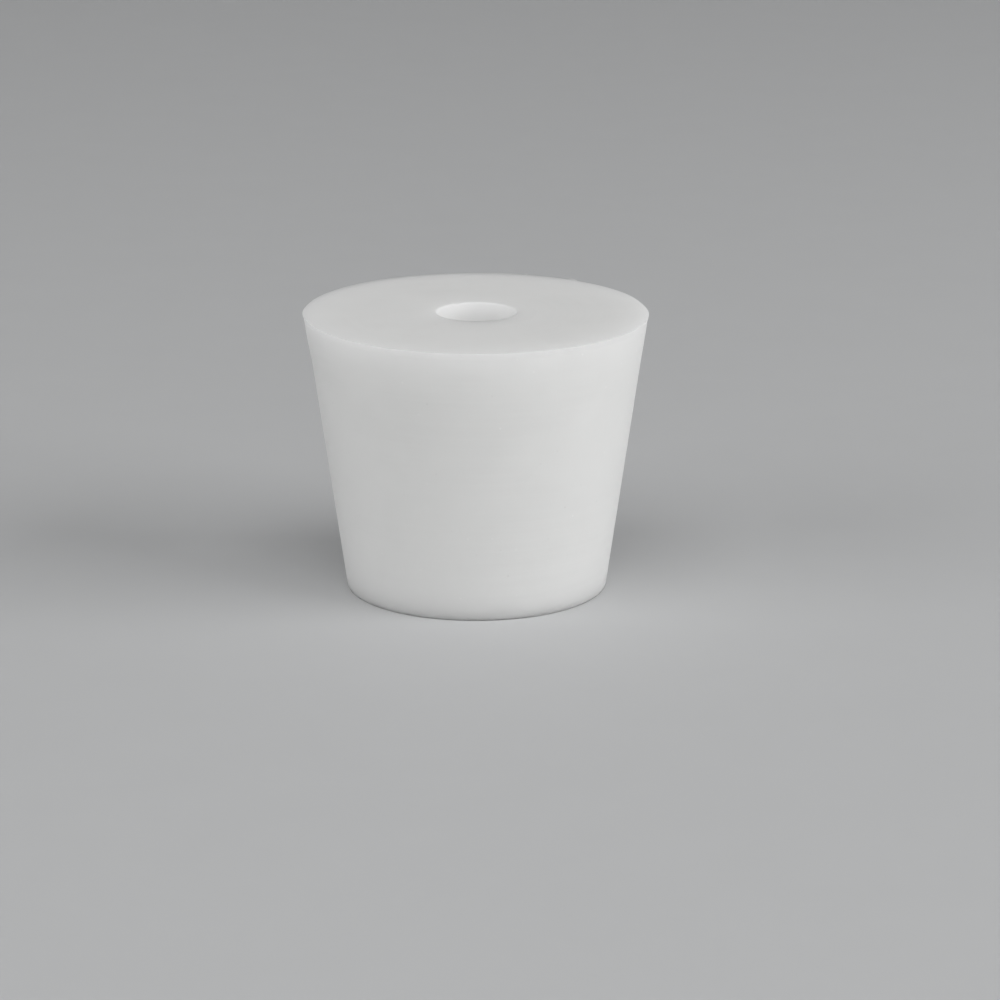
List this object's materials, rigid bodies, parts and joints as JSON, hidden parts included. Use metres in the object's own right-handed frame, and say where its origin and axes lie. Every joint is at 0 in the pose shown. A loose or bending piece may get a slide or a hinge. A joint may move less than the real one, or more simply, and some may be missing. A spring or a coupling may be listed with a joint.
{
  "type": "rubber stopper",
  "caption": "Tapered silicone rubber stopper with a straight hole along its axis for a glass tube, made to close the neck of a flask or bottle.",
  "frame": {"origin": "centre of the narrow end face, which the stopper stands on", "axes": "+Z along the axis of the bore, from the narrow end face to the wide one; the stopper is round about it, so X and Y are free"},
  "size_m": [0.035, 0.035, 0.0287],
  "materials": {
    "silicone": "satin, milky translucent"
  },
  "bodies": {
    "root": {"stopper": "silicone"}
  },
  "joints": []
}
